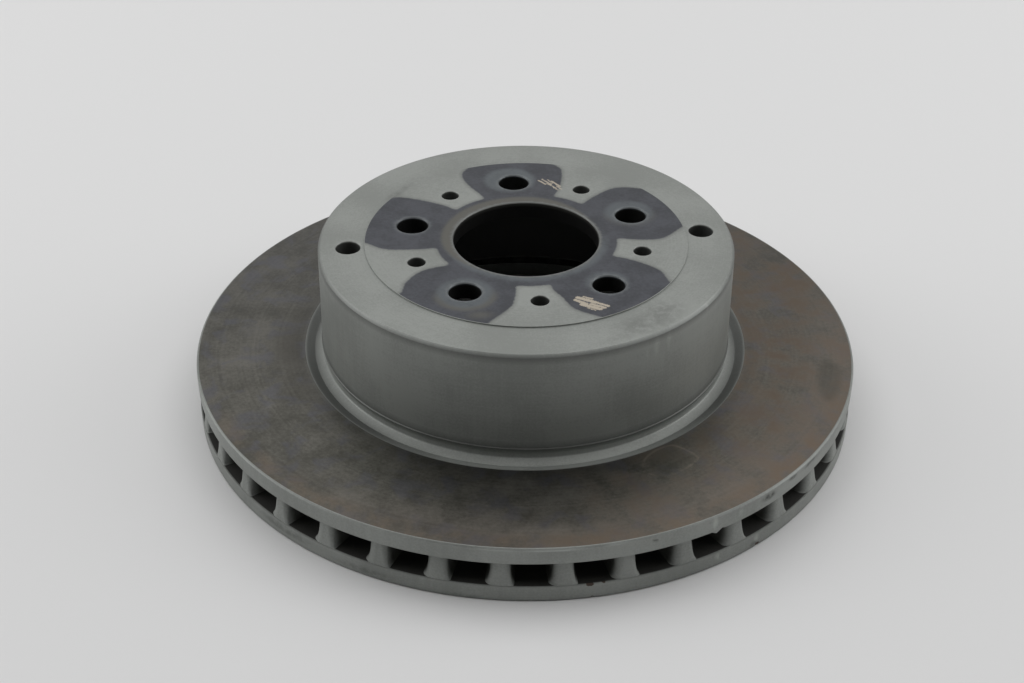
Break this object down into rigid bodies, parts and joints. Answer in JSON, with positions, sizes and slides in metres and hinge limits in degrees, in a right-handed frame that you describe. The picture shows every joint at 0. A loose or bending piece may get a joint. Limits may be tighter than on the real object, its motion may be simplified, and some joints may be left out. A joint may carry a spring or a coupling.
{
  "type": "brake disc",
  "caption": "Vented brake disc, turned cast iron, with straight cooling vanes, a tall hat with a parking-brake drum inside, and a drilled mounting flange.",
  "frame": {"origin": "centre of the inboard friction face, on the axis of rotation", "axes": "+Z along the axis of rotation towards the wheel side, +X through one adjuster access hole, +Y through one wheel bolt hole"},
  "size_m": [0.31, 0.31, 0.0815],
  "materials": {
    "disc": "grey zinc-flake coating, bare turned friction faces with light oxide"
  },
  "bodies": {
    "root": {"brake_disc": "disc"}
  },
  "joints": []
}
